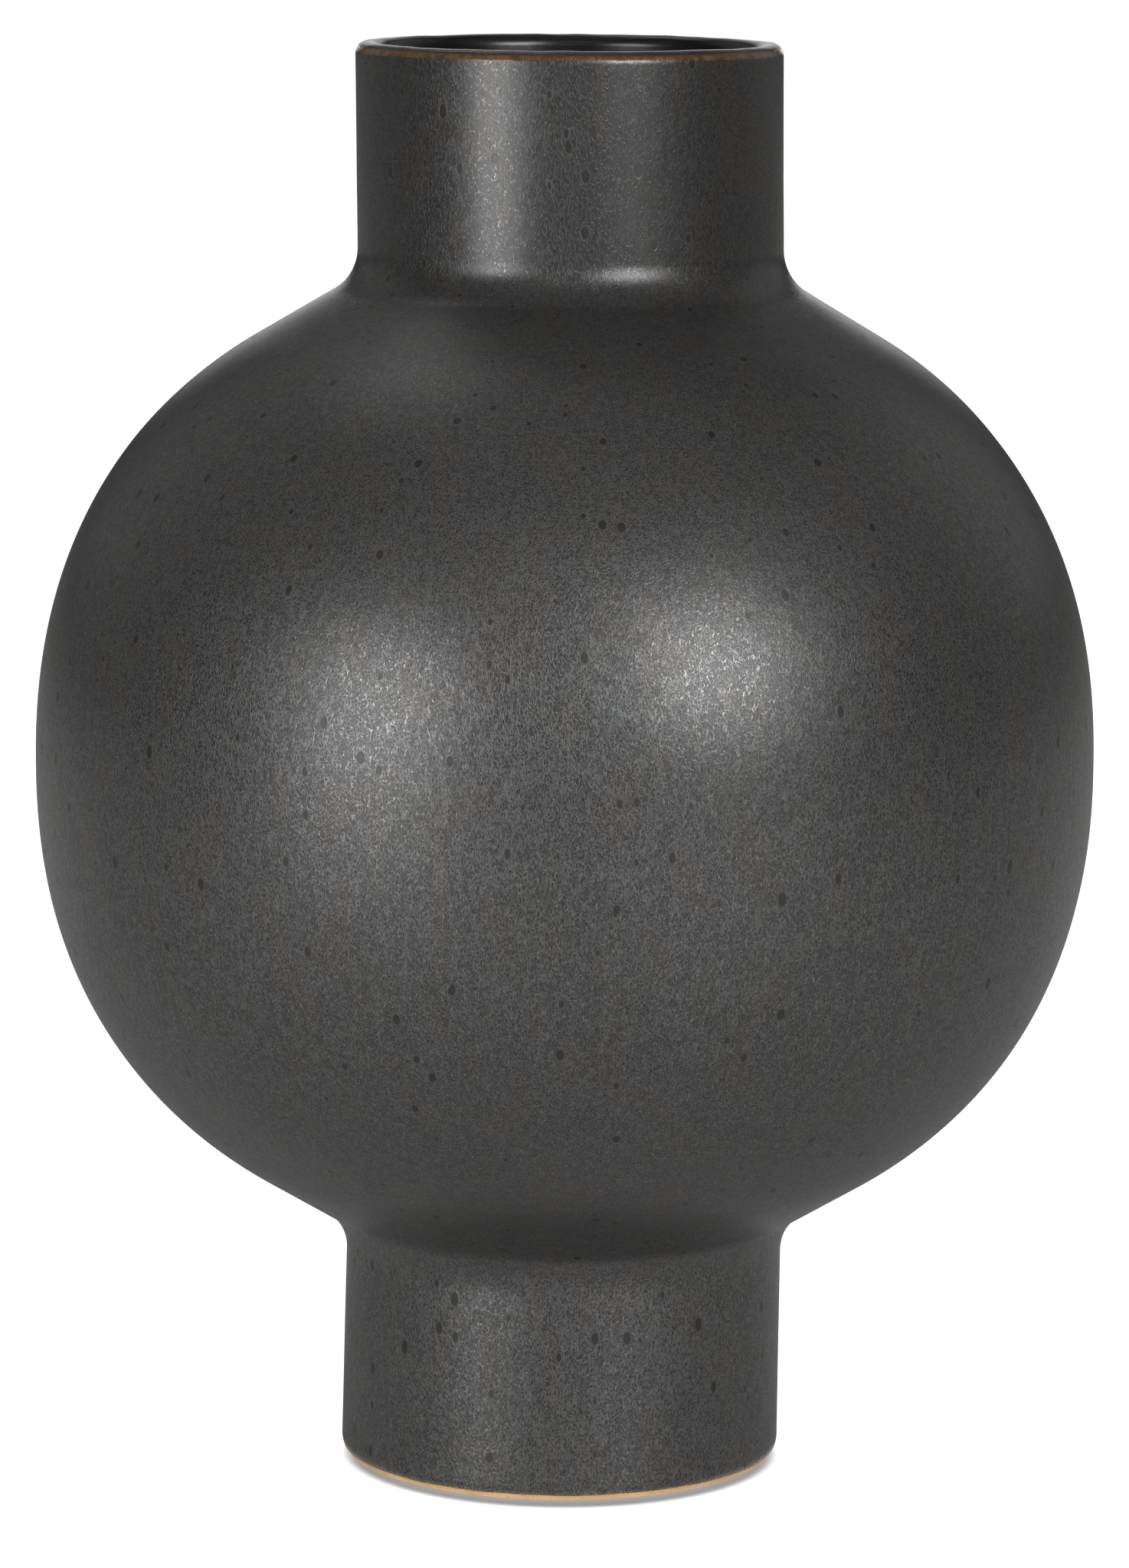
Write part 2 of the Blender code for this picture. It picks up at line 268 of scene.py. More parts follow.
class Skin:
    """A finely turned surface: a grid of points, with smooth normals that bands of it share."""

    def __init__(self, line, outward, ripple_depth=FORM_DEPTH, edge=None):
        profile = np.array(line)
        steps = np.hypot(*np.diff(profile, axis=0).T)
        self.distances = np.concatenate([[0.0], np.cumsum(steps)])
        self.heights = profile[:, 1]
        angles = np.linspace(0.0, math.tau, AROUND, endpoint=False)
        tangents = np.gradient(profile, self.distances, axis=0)
        tangents /= np.maximum(np.hypot(*tangents.T), TINY)[:, None]
        normals = np.stack([-tangents[:, 1], tangents[:, 0]], axis=1) * outward
        lift = ripple_depth * FORM_RIPPLE.at(angles[None, :], self.distances[:, None])
        lift *= np.clip(profile[:, 0] / CALM_RADIUS, 0.0, 1.0)[:, None]
        radii = profile[:, 0][:, None] + lift * normals[:, 0][:, None]
        heights = profile[:, 1][:, None] + lift * normals[:, 1][:, None]
        if edge is not None:
            radii, heights = edge(profile, angles, radii, heights)
        lean = MM * np.interp(heights / MM, LEAN_HEIGHTS, LEAN_OFFSETS)
        xs = radii * np.cos(angles)[None, :] + lean
        ys = radii * np.sin(angles)[None, :]
        self.points = np.stack([xs, ys, heights], axis=2)
        self.outward = outward
        self.normals = self.smooth_normals()

    def smooth_normals(self):
        """The whole grid's normals, so that bands meet without a seam."""
        down = np.gradient(self.points, axis=0)
        around = np.roll(self.points, -1, axis=1) - np.roll(self.points, 1, axis=1)
        normals = np.cross(around, down) * -self.outward
        lengths = np.linalg.norm(normals, axis=2, keepdims=True)
        return normals / np.maximum(lengths, TINY)

    def band(self, name, first, last, material):
        """Rows first to last as one piece. A last row on the axis closes with a fan."""
        points = self.points[first : last + 1]
        normals = self.normals[first : last + 1]
        rows = len(points)
        closes = self.points[last, 0, :2].tolist() == self.points[last, 1, :2].tolist()
        faces = []
        for row in range(rows - 1):
            upper = row * AROUND
            lower = upper + AROUND
            if closes and row == rows - 2:
                faces += [(upper + i, upper + (i + 1) % AROUND, lower) for i in range(AROUND)]
                break
            for i in range(AROUND):
                following = (i + 1) % AROUND
                faces.append((upper + i, upper + following, lower + following, lower + i))
        vertices = points.reshape(-1, 3)
        directions = normals.reshape(-1, 3)
        if closes:
            vertices = vertices[: (rows - 1) * AROUND + 1]
            directions = directions[: (rows - 1) * AROUND + 1].copy()
            directions[-1] = (0.0, 0.0, self.outward)
        if self.outward > 0:
            faces = [face[::-1] for face in faces]
        mesh = bpy.data.meshes.new(name)
        mesh.from_pydata(vertices.tolist(), [], faces)
        mesh.shade_smooth()
        mesh.normals_split_custom_set_from_vertices(directions.tolist())
        mesh.materials.append(material)
        obj = bpy.data.objects.new(name, mesh)
        bpy.context.scene.collection.objects.link(obj)
        return obj


def waver_rim(profile, angles, radii, heights):
    """The lip's crown is a little uneven all the way round."""
    near = np.clip((profile[:, 1] - (HEIGHT - LIP_REACH)) / LIP_REACH, 0.0, 1.0)[:, None]
    wave = LIP_DEPTH * EDGE_RIPPLE.at(angles[None, :], np.full_like(near, LIP_STRETCH))
    return radii, heights + near * (wave - LIP_DROP)


def waver_foot(profile, angles, radii, heights):
    """The lip's unevenness, and a glaze edge that runs up and down above the bare clay."""
    radii, heights = waver_rim(profile, angles, radii, heights)
    near = np.clip((FOOT_EDGE_TOP - profile[:, 1]) / FOOT_EDGE_REACH, 0.0, 1.0)[:, None]
    wave = FOOT_EDGE_DEPTH * EDGE_RIPPLE.at(angles[None, :], np.full_like(near, FOOT_EDGE_STRETCH))
    return radii, heights + near * near * (wave + FOOT_EDGE_LIFT)


# ---- Materials ----
class Nodes:
    """A material under construction: short calls that add nodes and link them."""

    def __init__(self, name):
        self.material = bpy.data.materials.new(name)
        self.material.use_nodes = True
        self.tree = self.material.node_tree
        self.shader = self.tree.nodes["Principled BSDF"]

    def add(self, kind, **settings):
        node = self.tree.nodes.new(kind)
        for key, value in settings.items():
            setattr(node, key, value)
        return node

    def plug(self, socket, value):
        if hasattr(value, "is_linked"):
            self.tree.links.new(value, socket)
        else:
            socket.default_value = value

    def place(self, scale):
        """The point on the piece, in the CAD model's frame, times a scale for each axis."""
        coordinates = self.add("ShaderNodeTexCoord")
        mapping = self.add("ShaderNodeMapping")
        mapping.inputs["Scale"].default_value = scale
        self.plug(mapping.inputs["Vector"], coordinates.outputs["Object"])
        return mapping.outputs["Vector"]

    def millimetres(self, upright=1.0):
        """The point on the piece in millimetres, with its height times a share of its own."""
        return self.place((1.0 / MM, 1.0 / MM, upright / MM))

    def noise(self, where, scale, detail=2.0, roughness=0.5):
        node = self.add("ShaderNodeTexNoise")
        self.plug(node.inputs["Vector"], where)
        node.inputs["Scale"].default_value = scale
        node.inputs["Detail"].default_value = detail
        node.inputs["Roughness"].default_value = roughness
        return node

    def cells(self, where, scale, feature="F1"):
        node = self.add("ShaderNodeTexVoronoi", feature=feature)
        self.plug(node.inputs["Vector"], where)
        node.inputs["Scale"].default_value = scale
        return node

    def math(self, operation, a, b=0.0, c=0.0):
        node = self.add("ShaderNodeMath", operation=operation)
        for socket, value in zip(node.inputs, (a, b, c)):
            self.plug(socket, value)
        return node.outputs[0]

    def ramp(self, value, low, high, start=0.0, end=1.0):
        """value from low to high becomes start to end, smoothly, and stays inside them."""
        node = self.add("ShaderNodeMapRange", interpolation_type="SMOOTHSTEP")
        for socket, given in zip(node.inputs, (value, low, high, start, end)):
            self.plug(socket, given)
        return node.outputs["Result"]

    def mix(self, share, a, b):
        node = self.add("ShaderNodeMix", data_type="RGBA")
        for socket, value in zip((node.inputs[0], node.inputs[6], node.inputs[7]), (share, a, b)):
            self.plug(socket, value)
        return node.outputs[2]

    def bump(self, height, distance, strength=1.0, under=None):
        node = self.add("ShaderNodeBump")
        node.inputs["Strength"].default_value = strength
        node.inputs["Distance"].default_value = distance
        self.plug(node.inputs["Height"], height)
        if under is not None:
            self.plug(node.inputs["Normal"], under)
        return node.outputs["Normal"]

    def shifted(self, where, by, amount):
        """where, moved about by a noise node's colour."""
        centred = self.add("ShaderNodeVectorMath", operation="SUBTRACT")
        self.plug(centred.inputs[0], by.outputs["Color"])
        centred.inputs[1].default_value = (0.5, 0.5, 0.5)
        scaled = self.add("ShaderNodeVectorMath", operation="SCALE")
        self.plug(scaled.inputs[0], centred.outputs[0])
        scaled.inputs["Scale"].default_value = amount
        moved = self.add("ShaderNodeVectorMath", operation="ADD")
        self.plug(moved.inputs[0], where)
        self.plug(moved.inputs[1], scaled.outputs[0])
        return moved.outputs[0]

    def cell_random(self, cells, channel=0):
        """One of a voronoi node's random numbers for each cell."""
        parts = self.add("ShaderNodeSeparateColor")
        self.plug(parts.inputs[0], cells.outputs["Color"])
        return parts.outputs[channel]

    def height_above(self):
        """The height above the table, in millimetres."""
        parts = self.add("ShaderNodeSeparateXYZ")
        self.plug(parts.inputs[0], self.millimetres())
        return parts.outputs["Z"]


def grey(value, warmth=0.0):
    return (value * (1 + warmth), value, value * (1 - warmth), 1.0)


# The glaze's pattern is drawn in millimetres, stretched upwards, as the glaze runs down in the kiln.
VEIN_STRETCH = 0.42
WORM_SIZE = 0.90
WANDER_SIZE = 0.6
FINE_CELL = 0.52
BREAK_SIZE = 1.9
SPOT_STRETCH = 0.6
SPOT_CELL = 4.8


def vein_pattern(nodes):
    """Three masks: pale worm-like lines, smooth oval spots without lines, and each spot's outline."""
    flow = nodes.millimetres(VEIN_STRETCH)
    wander = nodes.noise(flow, 1 / WANDER_SIZE, 2.0)
    bent = nodes.shifted(flow, wander, 0.7)
    worm = nodes.noise(nodes.shifted(flow, wander, 0.35), 1 / WORM_SIZE, 1.0).outputs["Fac"]
    middle = nodes.math("ABSOLUTE", nodes.math("SUBTRACT", worm, 0.5))
    worm_line = nodes.ramp(middle, 0.006, 0.036, 1.0, 0.0)
    fine = nodes.cells(bent, 1 / FINE_CELL, "DISTANCE_TO_EDGE").outputs["Distance"]
    fine_line = nodes.ramp(fine, 0.02, 0.20, 1.0, 0.0)
    broken = nodes.ramp(nodes.noise(flow, 1 / BREAK_SIZE, 1.0).outputs["Fac"], 0.36, 0.62)
    fine_share = nodes.math("MULTIPLY", fine_line, nodes.math("MULTIPLY_ADD", broken, 0.27, 0.35))
    lines = nodes.math("MAXIMUM", worm_line, fine_share)

    wide = nodes.millimetres(SPOT_STRETCH)
    drops = nodes.cells(wide, 1 / SPOT_CELL)
    chosen = nodes.ramp(nodes.cell_random(drops), 0.83, 0.835)
    size = nodes.math("MULTIPLY_ADD", nodes.cell_random(drops, 2), 0.13, 0.14)
    reach = nodes.math("DIVIDE", drops.outputs["Distance"], size)
    inner = nodes.ramp(reach, 0.85, 1.1, 1.0, 0.0)
    outer = nodes.ramp(reach, 1.05, 1.35, 1.0, 0.0)
    spots = nodes.math("MULTIPLY", inner, chosen)
    outline = nodes.math("MULTIPLY", nodes.math("SUBTRACT", outer, inner), chosen)
    return lines, spots, outline


# The lip's edge, where the glaze breaks thin over the clay, in millimetres above the table.
BREAK_TOP = (HEIGHT - 1.4 * MM) / MM
BREAK_FOOT = (HEIGHT - 2.8 * MM) / MM

# Heights in millimetres where the glaze turns smoother, with darker, fewer veins on the neck and paler,
# more veins on the foot as a painted highlight, and where the underside's veins darken as painted shade.
NECK_CHANGE = (300.0, 345.0)
FOOT_CHANGE = (75.0, 95.0)
UNDERSIDE_SHADE_HEIGHTS = (85.0, 160.0)

# The satin glaze's colours.
GROUND_GREEN = (0.0120, 0.0124, 0.0122, 1)
GROUND_VIOLET = (0.0136, 0.0120, 0.0124, 1)
GROUND_WARM = (0.0165, 0.0148, 0.0124, 1)
VEIN_GREEN = (0.206, 0.210, 0.209, 1)
VEIN_VIOLET = (0.213, 0.208, 0.211, 1)
VEIN_WARM = (0.213, 0.209, 0.202, 1)
VEIN_ON_NECK = (0.090, 0.088, 0.088, 1)
# Darker veins on the underside: painted shade.
VEIN_UNDERSIDE_PAINTED_SHADE = (0.125, 0.122, 0.120, 1)
# Paler veins on the foot: a painted highlight.
VEIN_FOOT_PAINTED_HIGHLIGHT = (0.300, 0.294, 0.288, 1)
SPOT_COLOUR = (0.017, 0.0165, 0.016, 1)
OUTLINE_COLOUR = (0.085, 0.082, 0.075, 1)
FLECK_COLOUR = (0.075, 0.052, 0.030, 1)
BREAK_DARK = (0.085, 0.038, 0.012, 1)
BREAK_LIGHT = (0.165, 0.086, 0.030, 1)


def satin_glaze():
    """Near-black satin glaze, with a network of pale veins and brown where it breaks at the lip; its
    veins carry painted shade on the underside and a painted highlight on the foot.
    """
    nodes = Nodes("satin_glaze_looks")
    lines, spots, outline = vein_pattern(nodes)
    plain = nodes.millimetres()
    cloud = nodes.noise(plain, 1 / 38.0, 3.0)
    speck = nodes.noise(plain, 1 / 2.6, 2.0)
    tint = nodes.noise(nodes.millimetres(VEIN_STRETCH), 1 / 9.0, 2.0)

    lines = nodes.math("MULTIPLY", lines, nodes.math("SUBTRACT", 1.0, spots))
    clouded = nodes.ramp(cloud.outputs["Fac"], 0.3, 0.7, 0.90, 1.0)
    height = nodes.height_above()
    on_neck = nodes.ramp(height, *NECK_CHANGE)
    on_foot = nodes.ramp(height, *FOOT_CHANGE, 1.0, 0.0)
    clouded = nodes.math("MULTIPLY_ADD", on_neck, -0.10, clouded)
    # The foot's extra veins, with its paler veins below, are part of a painted highlight.
    clouded = nodes.math("MULTIPLY_ADD", on_foot, 0.15, clouded)
    veins = nodes.math("MULTIPLY", lines, clouded)

    hue = nodes.ramp(tint.outputs["Fac"], 0.36, 0.64)
    cool = nodes.ramp(cloud.outputs["Fac"], 0.42, 0.58)
    ground = nodes.mix(cool, GROUND_GREEN, GROUND_VIOLET)
    ground = nodes.mix(hue, ground, GROUND_WARM)
    pale = nodes.mix(hue, nodes.mix(cool, VEIN_GREEN, VEIN_VIOLET), VEIN_WARM)
    pale = nodes.mix(nodes.math("MULTIPLY", on_neck, 0.60), pale, VEIN_ON_NECK)
    # The underside's darker veins are painted shade.
    pale = nodes.mix(nodes.ramp(height, *UNDERSIDE_SHADE_HEIGHTS, 0.22, 0.0), pale, VEIN_UNDERSIDE_PAINTED_SHADE)
    # The foot's paler veins are a painted highlight.
    pale = nodes.mix(nodes.math("MULTIPLY", on_foot, 0.3), pale, VEIN_FOOT_PAINTED_HIGHLIGHT)
    colour = nodes.mix(veins, ground, pale)
    colour = nodes.mix(nodes.math("MULTIPLY", spots, 0.3), colour, SPOT_COLOUR)
    colour = nodes.mix(nodes.math("MULTIPLY", outline, 0.6), colour, OUTLINE_COLOUR)
    fleck = nodes.ramp(nodes.noise(plain, 1 / 1.4, 1.0).outputs["Fac"], 0.70, 0.78)
    colour = nodes.mix(nodes.math("MULTIPLY", fleck, 0.35), colour, FLECK_COLOUR)

    stray = nodes.math("SUBTRACT", speck.outputs["Fac"], 0.5)
    ragged = nodes.math("MULTIPLY_ADD", stray, 0.9, height)
    over = nodes.ramp(ragged, BREAK_FOOT - 0.45, BREAK_FOOT + 0.35)
    under = nodes.ramp(ragged, BREAK_TOP - 0.25, BREAK_TOP + 0.25, 1.0, 0.0)
    thin = nodes.math("MULTIPLY", over, under)
    brown = nodes.mix(nodes.ramp(speck.outputs["Fac"], 0.35, 0.65), BREAK_DARK, BREAK_LIGHT)
    colour = nodes.mix(nodes.math("MULTIPLY", thin, 0.85), colour, brown)
    nodes.plug(nodes.shader.inputs["Base Color"], colour)

    rough = nodes.math("MULTIPLY_ADD", veins, -0.07, 0.38)
    rough = nodes.math("MULTIPLY_ADD", spots, 0.03, rough)
    rough = nodes.math("MULTIPLY_ADD", on_neck, -0.075, rough)
    rough = nodes.math("MULTIPLY_ADD", on_foot, -0.06, rough)
    rough = nodes.math("MULTIPLY_ADD", thin, -0.18, rough)
    rough = nodes.math("MULTIPLY_ADD", stray, 0.05, rough)
    nodes.plug(nodes.shader.inputs["Roughness"], rough)
    metal = nodes.math("MULTIPLY", nodes.math("MULTIPLY", veins, 0.88), nodes.math("SUBTRACT", 1.0, thin))
    nodes.plug(nodes.shader.inputs["Metallic"], metal)
    nodes.shader.inputs["IOR"].default_value = 1.58

    relief = nodes.math("MULTIPLY_ADD", speck.outputs["Fac"], 0.25, veins)
    relief = nodes.math("MULTIPLY_ADD", spots, -0.9, relief)
    relief = nodes.math("MULTIPLY_ADD", outline, 0.6, relief)
    swell = nodes.bump(nodes.noise(plain, 1 / 7.0, 1.0).outputs["Fac"], 0.08 * MM, 0.5)
    nodes.plug(nodes.shader.inputs["Normal"], nodes.bump(relief, 0.025 * MM, 0.8, swell))
    return nodes.material


def gloss_glaze():
    """The liner: black, wet-looking, with a faint orange-peel ripple and pin-sized flecks."""
    nodes = Nodes("gloss_glaze_looks")
    plain = nodes.millimetres()
    cloud = nodes.noise(plain, 1 / 16.0, 3.0)
    fleck = nodes.ramp(nodes.noise(plain, 1 / 0.9, 1.0).outputs["Fac"], 0.68, 0.76)
    colour = nodes.mix(cloud.outputs["Fac"], (0.007, 0.0068, 0.0072, 1), (0.016, 0.0145, 0.0145, 1))
    colour = nodes.mix(nodes.math("MULTIPLY", fleck, 0.4), colour, (0.045, 0.030, 0.018, 1))
    height = nodes.height_above()
    ragged = nodes.math("MULTIPLY_ADD", nodes.math("SUBTRACT", cloud.outputs["Fac"], 0.5), 1.2, height)
    thin = nodes.ramp(ragged, HEIGHT / MM - 1.5, HEIGHT / MM - 0.3)
    colour = nodes.mix(nodes.math("MULTIPLY", thin, 0.35), colour, (0.075, 0.052, 0.034, 1))
    nodes.plug(nodes.shader.inputs["Base Color"], colour)
    rough = nodes.math("MULTIPLY_ADD", cloud.outputs["Fac"], 0.10, 0.22)
    nodes.plug(nodes.shader.inputs["Roughness"], rough)
    nodes.shader.inputs["IOR"].default_value = 1.52
    peel = nodes.noise(plain, 1 / 4.5, 2.0).outputs["Fac"]
    nodes.plug(nodes.shader.inputs["Normal"], nodes.bump(peel, 0.10 * MM, 0.5))
    return nodes.material


def fired_clay(name, light, dark, grain=1.0):
    """Bare stoneware: warm tan, sandy, with darker iron specks and fine pits."""
    nodes = Nodes(name)
    plain = nodes.millimetres()
    cloud = nodes.noise(plain, 1 / 14.0, 3.0)
    sand = nodes.noise(plain, 1 / (0.7 * grain), 3.0, 0.65)
    specks = nodes.cells(plain, 1 / (2.4 * grain))
    iron = nodes.ramp(specks.outputs["Distance"], 0.07, 0.14, 1.0, 0.0)
    iron = nodes.math("MULTIPLY", iron, nodes.ramp(nodes.cell_random(specks), 0.6, 0.65))
    colour = nodes.mix(nodes.ramp(cloud.outputs["Fac"], 0.35, 0.65), light, dark)
    sandy = nodes.ramp(sand.outputs["Fac"], 0.42, 0.75, 0.0, 0.45)
    colour = nodes.mix(sandy, colour, (0.30, 0.17, 0.075, 1))
    colour = nodes.mix(nodes.math("MULTIPLY", iron, 0.7), colour, (0.10, 0.055, 0.03, 1))
    nodes.plug(nodes.shader.inputs["Base Color"], colour)
    rough = nodes.math("MULTIPLY_ADD", sand.outputs["Fac"], 0.25, 0.68)
    nodes.plug(nodes.shader.inputs["Roughness"], rough)
    nodes.shader.inputs["IOR"].default_value = 1.45
    pits = nodes.math("MULTIPLY_ADD", iron, -0.8, sand.outputs["Fac"])
    nodes.plug(nodes.shader.inputs["Normal"], nodes.bump(pits, 0.10 * MM, 0.7))
    return nodes.material


# ---- The pieces ----
def add_piece(skin, name, first, last, material, slot, *nodes):
    """One band of a skin, as a piece that stands for a node of the CAD model, or for part of it."""
    piece = skin.band(name, first, last, material)
    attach(piece, "root")
    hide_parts(*nodes)


def add_bands(skin, heights, names, material, slot, node):
    """Cuts a skin at these heights into bands that share their edge rows."""
    cuts = [0]
    for height in heights:
        cuts.append(cuts[-1] + 1 + int(np.argmax(skin.heights[cuts[-1] + 1 :] <= height)))
    cuts.append(len(skin.heights) - 1)
    for name, first, last in zip(names, cuts, cuts[1:]):
        add_piece(skin, name, first, last, material, slot, node)


satin = satin_glaze()
gloss = gloss_glaze()
bare = fired_clay("bare_clay_looks", (0.66, 0.44, 0.21, 1), (0.58, 0.37, 0.17, 1))

OUTER_CUTS = (318 * MM, 283 * MM, 238 * MM, 187 * MM, 135 * MM, 92 * MM)
OUTER_BANDS = (
    "satin_glaze_neck",
    "satin_glaze_shoulder",
    "satin_glaze_upper_belly",
    "satin_glaze_belly",
    "satin_glaze_lower_belly",
    "satin_glaze_underside",
    "satin_glaze_foot",
)
LINER_CUTS = (300 * MM, BODY_MIDDLE, 95 * MM)
LINER_BANDS = ("gloss_liner_neck", "gloss_liner_upper", "gloss_liner_lower", "gloss_liner_floor")

outer_skin = Skin(outer_line(), 1.0, edge=waver_foot)
add_bands(outer_skin, OUTER_CUTS, OUTER_BANDS, satin, "satin_glaze", "outer_glaze")
liner_skin = Skin(liner_line(), -1.0, edge=waver_rim)
add_bands(liner_skin, LINER_CUTS, LINER_BANDS, gloss, "gloss_glaze", "liner_glaze")


def bare_line():
    """Bare clay: from under the glaze's edge, round the foot ring and up to the floor's underside."""
    outside = FOOT_RADIUS - CLAY_DEPTH + BARE_CLAY_LIFT
    corner = arc((outside - CLAY_FOOT_CORNER[0], CLAY_FOOT_CORNER[1]), CLAY_FOOT_CORNER, 10, -90)
    ring, ledge = FOOT_RING_ROUNDING, LEDGE_ROUNDING
    inner = arc((FOOT_RING_INSIDE + ring, ring), (ring, ring), -90, -180, RING_ROWS)
    step = arc((LEDGE_INSIDE + ledge, LEDGE_HEIGHT), (ledge, ledge), -90, -180, LEDGE_ROWS)
    under = (LEDGE_INSIDE, FLOOR_UNDERSIDE)
    middle = (0.0, FLOOR_UNDERSIDE)
    line = corner + straight(corner[-1], inner[0]) + inner + step + [under]
    return line + straight(under, middle) + [middle]


bare_skin = Skin(bare_line(), 1.0, ripple_depth=0.0)
ring_end = int(np.argmax(bare_skin.heights >= FLOOR_UNDERSIDE))
last_row = len(bare_skin.heights) - 1
add_piece(bare_skin, "bare_foot_ring", 0, ring_end, bare, "bare_clay", "foot_section")
add_piece(bare_skin, "bare_floor_underside", ring_end, last_row, bare, "bare_clay", "base_floor")

clay_looks = fired_clay("hidden_clay_looks", (0.60, 0.39, 0.18, 1), (0.52, 0.33, 0.15, 1))
slip_looks = fired_clay("slip_looks", (0.50, 0.33, 0.17, 1), (0.44, 0.28, 0.14, 1), 0.6)
CARRIED = {
    "foot_section": clay_looks,
    "base_floor": clay_looks,
    "lower_body": clay_looks,
    "upper_body": clay_looks,
    "neck_section": clay_looks,
    "foot_slip": slip_looks,
    "waist_slip": slip_looks,
    "neck_slip": slip_looks,
    "outer_glaze": satin,
    "liner_glaze": gloss,
}
for node_name, material in CARRIED.items():
    for material_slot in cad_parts[node_name].material_slots:
        material_slot.material = material


# ---- Camera ----
CAMERA_DISTANCE = 1.8076
CAMERA_HEIGHT = 0.4783
CAMERA_DIP = math.radians(9.009)
CAMERA_ROLL = math.radians(0.41)
LENS = 149.0


def add_camera():
    """The camera in front of the vase, a little above it and looking slightly down."""
    data = bpy.data.cameras.new("camera")
    data.lens = LENS
    data.sensor_width = 36.0
    data.clip_start = 0.05
    camera = bpy.data.objects.new("camera", data)
    bpy.context.scene.collection.objects.link(camera)
    turn = Matrix.Rotation(math.pi / 2 - CAMERA_DIP, 4, "X") @ Matrix.Rotation(CAMERA_ROLL, 4, "Z")
    camera.matrix_world = Matrix.Translation((0.0, -CAMERA_DISTANCE, CAMERA_HEIGHT)) @ turn
    bpy.context.scene.camera = camera


# ---- Studio ----
# Each panel: azimuth (0 in front, positive to the right), elevation, distance, width, height, radiance.
PANELS = {
    "left_softbox": (-39.5, 10.2, 1.87, 0.78, 0.92, 6.5),
    "right_softbox": (32.6, 21.2, 2.30, 0.86, 0.88, 10.6),
    "front_fill": (0.0, 15.0, 2.0, 0.6, 0.8, 0.45),
    "front_high": (0.0, 42.0, 2.0, 1.2, 0.7, 0.40),
    "left_high": (-60.0, 45.0, 2.0, 1.2, 0.9, 0.10),
    "right_high": (60.0, 45.0, 2.0, 1.2, 0.9, 0.20),
    "back_wall_low": (180.0, 15.0, 2.0, 1.0, 0.8, 0.85),
    "back_strip": (180.0, 9.0, 2.0, 1.1, 0.22, 0.8),
    "back_wall_high": (180.0, 42.0, 2.0, 1.2, 1.0, 0.36),
    "back_left": (-130.0, 25.0, 2.0, 1.4, 1.4, 0.20),
    "back_right": (130.0, 25.0, 2.0, 1.4, 1.4, 0.26),
    "back_left_high": (-150.0, 62.0, 2.0, 0.9, 0.7, 1.0),
    "overhead": (0.0, 85.0, 2.0, 1.6, 1.6, 0.12),
}
WALL_GLOW = 0.03
FLOOR_HALF = 8.0
# The floor that the camera sees: how far in front of the foot its contact shadow lies, the shadow's
# inner and outer radius, and the floor's glow inside the first and outside the second.
SHADOW_SHIFT = 7 * MM
SHADOW_RADII = (FOOT_RADIUS - 4 * MM, FOOT_RADIUS + 1.5 * MM)
SHADOW_GLOWS = (0.2, 1.15)
# The floor that lights the vase: its glow behind the vase, and in a ring close round the foot.
BACK_GLOW = 0.17
BACK_REACH = 0.6
RING_GLOW = 0.55
RING_REACH = 4 * MM


def add_panel(name, azimuth, elevation, distance, width, height, radiance):
    """A soft panel of light that faces the middle of the vase."""
    turn, tilt = math.radians(azimuth), math.radians(elevation)
    away = Vector((math.sin(turn) * math.cos(tilt), -math.cos(turn) * math.cos(tilt), math.sin(tilt)))
    data = bpy.data.lights.new(name, "AREA")
    data.shape = "RECTANGLE"
    data.size, data.size_y = width, height
    data.energy = radiance * math.pi * width * height
    panel = bpy.data.objects.new(name, data)
    panel.location = Vector((0.0, 0.0, HEIGHT / 2)) + away * distance
    panel.rotation_mode = "QUATERNION"
    panel.rotation_quaternion = away.to_track_quat("Z", "Y")
    panel.visible_camera = False
    bpy.context.scene.collection.objects.link(panel)


def floor_material(name, tone, roughness):
    """A pale board, faintly uneven in tone."""
    nodes = Nodes(name)
    grain = nodes.noise(nodes.place((1.0, 1.0, 1.0)), 60.0, 2.0).outputs["Fac"]
    nodes.plug(nodes.shader.inputs["Base Color"], nodes.mix(grain, grey(tone - 0.01), grey(tone + 0.01)))
    nodes.shader.inputs["Roughness"].default_value = roughness
    return nodes


def add_board(name, height, material):
    """One large flat square for the vase to stand on."""
    mesh = bpy.data.meshes.new(name)
    half = FLOOR_HALF
    corners = [(-half, -half, height), (half, -half, height), (half, half, height), (-half, half, height)]
    mesh.from_pydata(corners, [], [(0, 1, 2, 3)])
    mesh.materials.append(material)
    board = bpy.data.objects.new(name, mesh)
    bpy.context.scene.collection.objects.link(board)
    return board


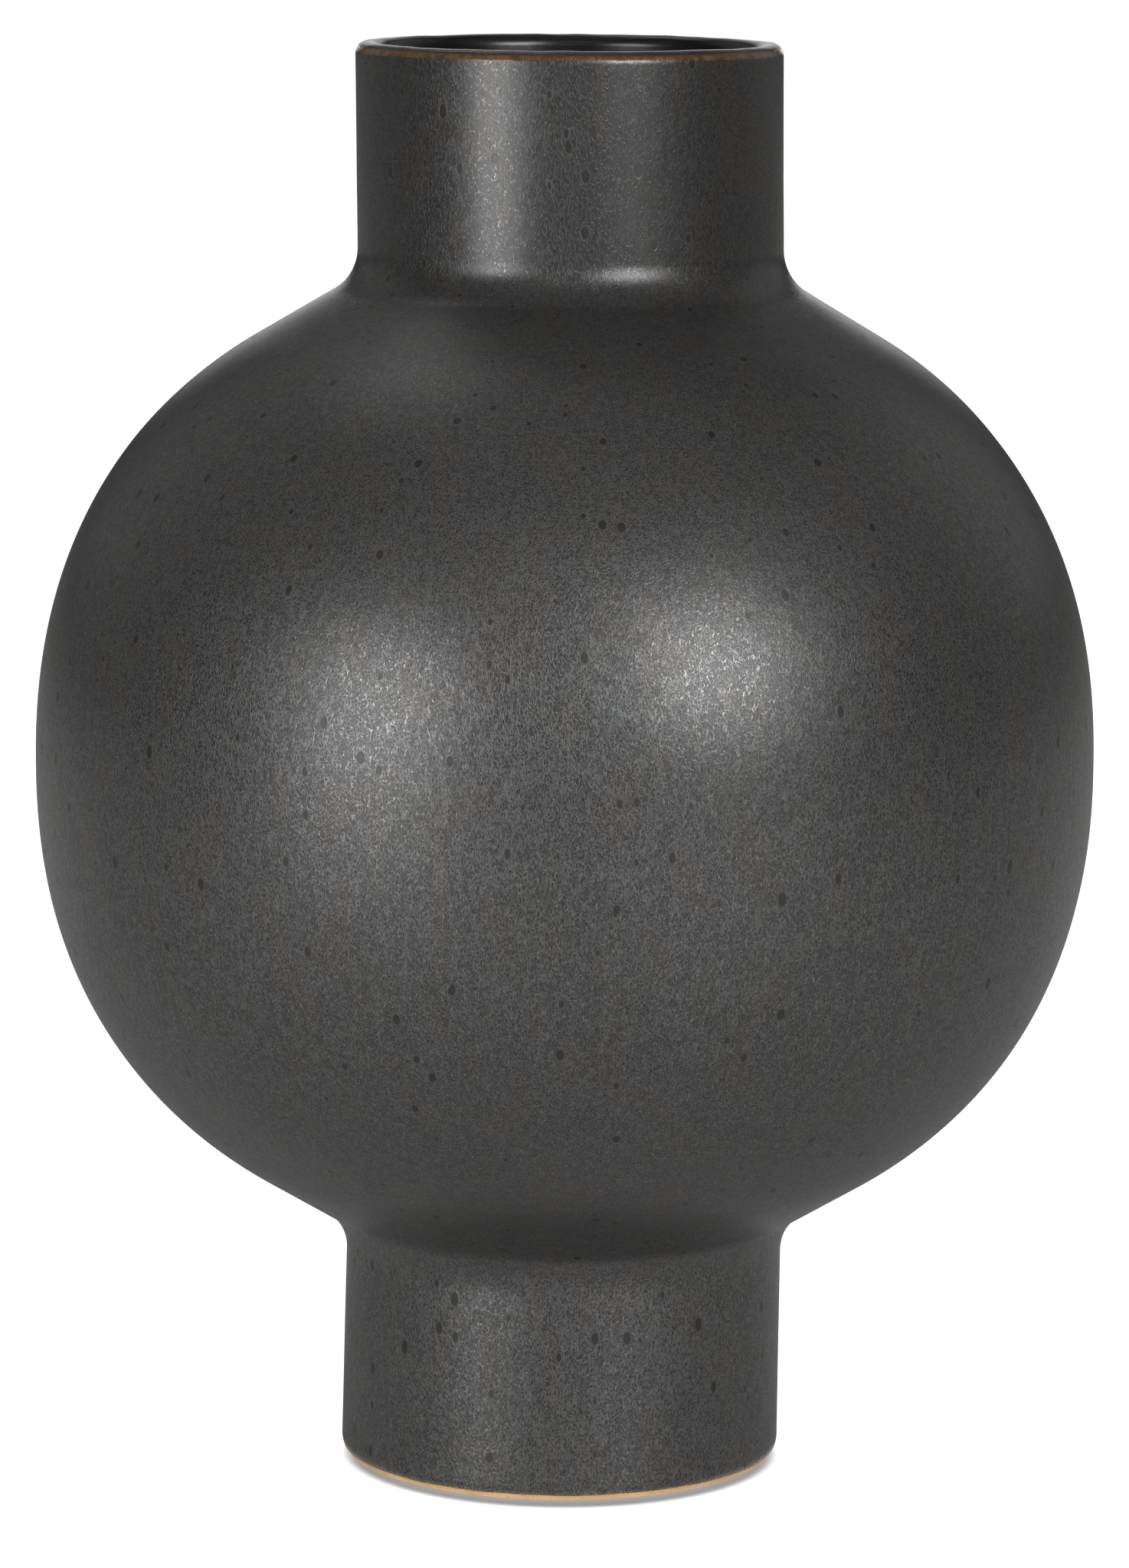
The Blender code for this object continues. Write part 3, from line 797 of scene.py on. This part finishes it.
def add_floor():
    """A bright floor that only the camera sees, over the dimmer one that lights the vase from below."""
    glowing = floor_material("floor_looks", 0.30, 0.3)
    shadow_middle = glowing.add("ShaderNodeVectorMath", operation="DISTANCE")
    glowing.plug(shadow_middle.inputs[0], glowing.place((1.0, 1.0, 1.0)))
    shadow_middle.inputs[1].default_value = (0.0, -SHADOW_SHIFT, 0.0)
    glow = glowing.ramp(shadow_middle.outputs["Value"], *SHADOW_RADII, *SHADOW_GLOWS)
    glowing.shader.inputs["Specular IOR Level"].default_value = 0.0
    glowing.shader.inputs["Emission Color"].default_value = grey(1.0)
    glowing.plug(glowing.shader.inputs["Emission Strength"], glow)
    seen = add_board("floor", 0.0, glowing.material)
    seen.visible_diffuse = False
    seen.visible_glossy = False
    seen.visible_shadow = False

    sweep = floor_material("bounce_floor_looks", 0.81, 0.5)
    parts = sweep.add("ShaderNodeSeparateXYZ")
    sweep.plug(parts.inputs[0], sweep.place((1.0, 1.0, 1.0)))
    sweep.shader.inputs["Emission Color"].default_value = grey(1.0, 0.02)
    far = sweep.ramp(parts.outputs["Y"], 0.0, BACK_REACH, 0.0, BACK_GLOW)
    middle = sweep.add("ShaderNodeVectorMath", operation="LENGTH")
    sweep.plug(middle.inputs[0], sweep.place((1.0, 1.0, 0.0)))
    close = sweep.ramp(middle.outputs["Value"], FOOT_RADIUS, FOOT_RADIUS + RING_REACH, RING_GLOW, 0.0)
    sweep.plug(sweep.shader.inputs["Emission Strength"], sweep.math("ADD", far, close))
    bounce = add_board("bounce_floor", -0.2 * MM, sweep.material)
    bounce.visible_camera = False
    bounce.visible_shadow = False


def add_world():
    """White to the camera, as the photograph's background; dark studio walls to everything else."""
    world = bpy.data.worlds.new("studio")
    world.use_nodes = True
    tree = world.node_tree
    walls = tree.nodes["Background"]
    walls.inputs["Color"].default_value = grey(1.0)
    walls.inputs["Strength"].default_value = WALL_GLOW
    seen = tree.nodes.new("ShaderNodeBackground")
    seen.inputs["Color"].default_value = grey(1.0)
    path = tree.nodes.new("ShaderNodeLightPath")
    mix = tree.nodes.new("ShaderNodeMixShader")
    tree.links.new(path.outputs["Is Camera Ray"], mix.inputs[0])
    tree.links.new(walls.outputs[0], mix.inputs[1])
    tree.links.new(seen.outputs[0], mix.inputs[2])
    tree.links.new(mix.outputs[0], tree.nodes["World Output"].inputs["Surface"])
    bpy.context.scene.world = world


add_camera()
add_world()
add_floor()
for panel_name, panel in PANELS.items():
    add_panel(panel_name, *panel)
bpy.context.scene.view_settings.view_transform = "Standard"
bpy.context.scene.view_settings.look = "None"
